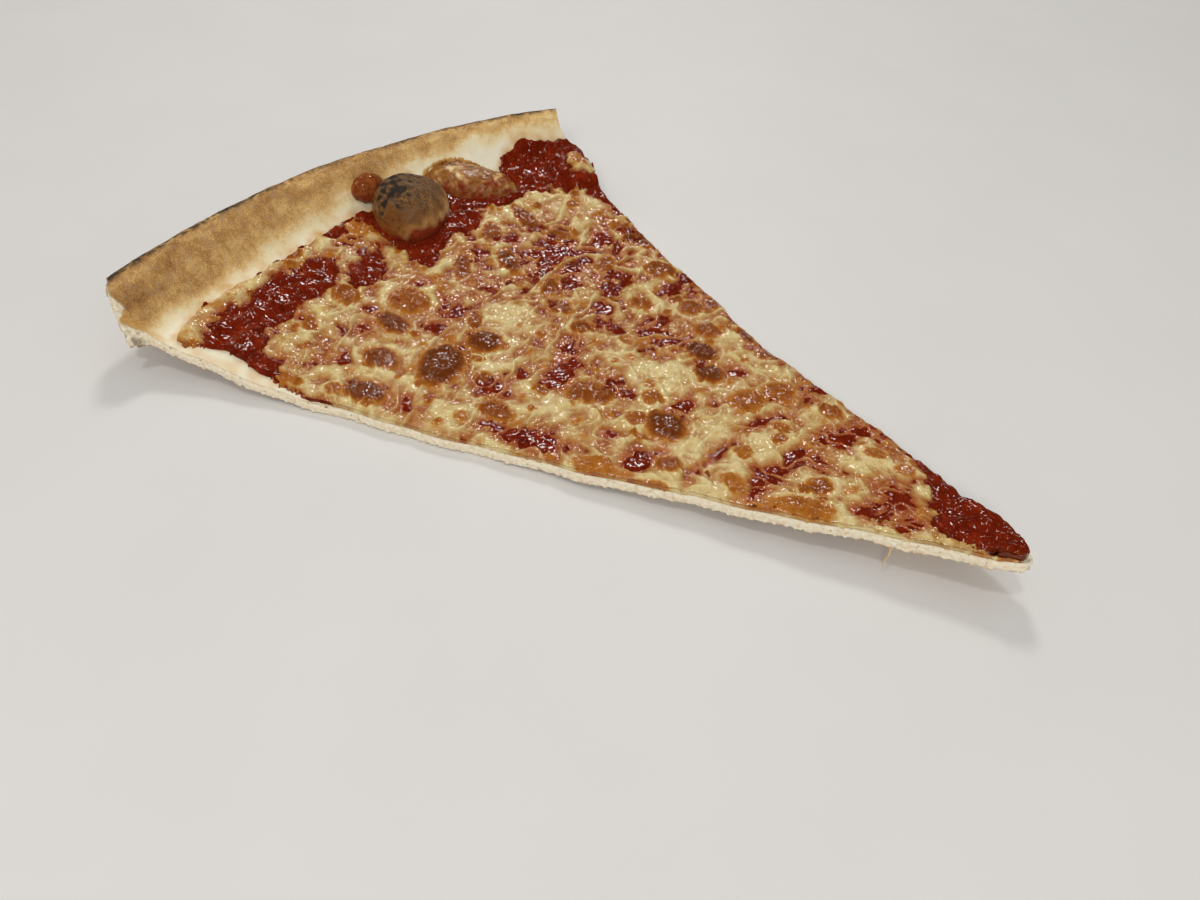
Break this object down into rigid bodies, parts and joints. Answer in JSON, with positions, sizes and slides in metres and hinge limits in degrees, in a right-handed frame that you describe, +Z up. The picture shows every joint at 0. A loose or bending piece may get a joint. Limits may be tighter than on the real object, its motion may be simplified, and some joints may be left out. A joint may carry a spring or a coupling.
{
  "type": "cheese pizza slice",
  "caption": "Thin, wide slice of plain cheese pizza with a raised, browned crust rim, tomato sauce, melted blistered cheese and charred dough bubbles; it sags softly in the middle.",
  "frame": {"origin": "middle of the slice's footprint box, on the surface that it lies on", "axes": "+X from the crust towards the tip, +Y towards the far cut, +Z up"},
  "size_m": [0.2584, 0.1824, 0.0258],
  "materials": {
    "dough": "matte, baked",
    "sauce": "wet, glossy",
    "cheese": "oily, glossy"
  },
  "bodies": {
    "root": {"dough": "dough", "sauce": "sauce", "cheese": "cheese"}
  },
  "joints": []
}
